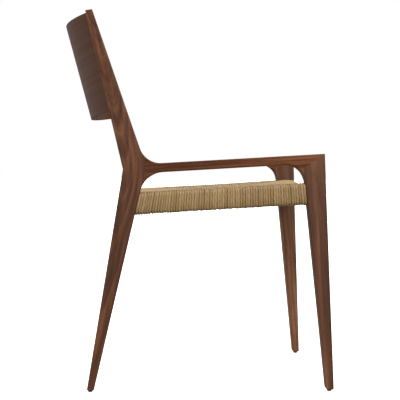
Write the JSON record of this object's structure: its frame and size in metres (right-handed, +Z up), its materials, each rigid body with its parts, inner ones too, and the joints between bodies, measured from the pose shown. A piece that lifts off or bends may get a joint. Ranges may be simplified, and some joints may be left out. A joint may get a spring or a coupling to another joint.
{
  "type": "chair",
  "caption": "Wooden dining chair with low side rails in place of arms, splayed tapered legs, a bent back panel and a woven cord seat.",
  "frame": {"origin": "on the floor, in the middle of the chair's footprint box", "axes": "+Z up, the sitter faces -Y, the sitter's left is +X"},
  "size_m": [0.5226, 0.5888, 0.8119],
  "materials": {
    "walnut": "oiled satin, grain along each piece",
    "walnut_panel": "oiled satin veneer, grain across the back",
    "beech": "planed, unfinished, hidden",
    "paper_cord": "matt twisted cord",
    "card": "matt brown card, hidden",
    "glide_plastic": "matt dark plastic",
    "steel": "plain, hidden"
  },
  "bodies": {
    "root": {"arm_tenon_left": "beech", "arm_tenon_right": "beech", "back_panel": "walnut_panel", "cord_tacks": "steel", "dowels_front_rail": "beech", "dowels_left_rail": "beech", "dowels_rear_rail": "beech", "dowels_right_rail": "beech", "foot_glide_front_left": "glide_plastic", "foot_glide_front_right": "glide_plastic", "foot_glide_rear_left": "glide_plastic", "foot_glide_rear_right": "glide_plastic", "front_leg_left": "walnut", "front_leg_right": "walnut", "glide_nails": "steel", "mitre_spline_left": "beech", "mitre_spline_right": "beech", "rear_leg_left": "walnut", "rear_leg_right": "walnut", "seat_rail_front": "beech", "seat_rail_left": "beech", "seat_rail_rear": "beech", "seat_rail_right": "beech", "seat_stuffing_front": "card", "seat_stuffing_left": "card", "seat_stuffing_rear": "card", "seat_stuffing_right": "card", "side_rail_left": "walnut", "side_rail_right": "walnut", "woven_seat": "paper_cord"}
  },
  "joints": []
}
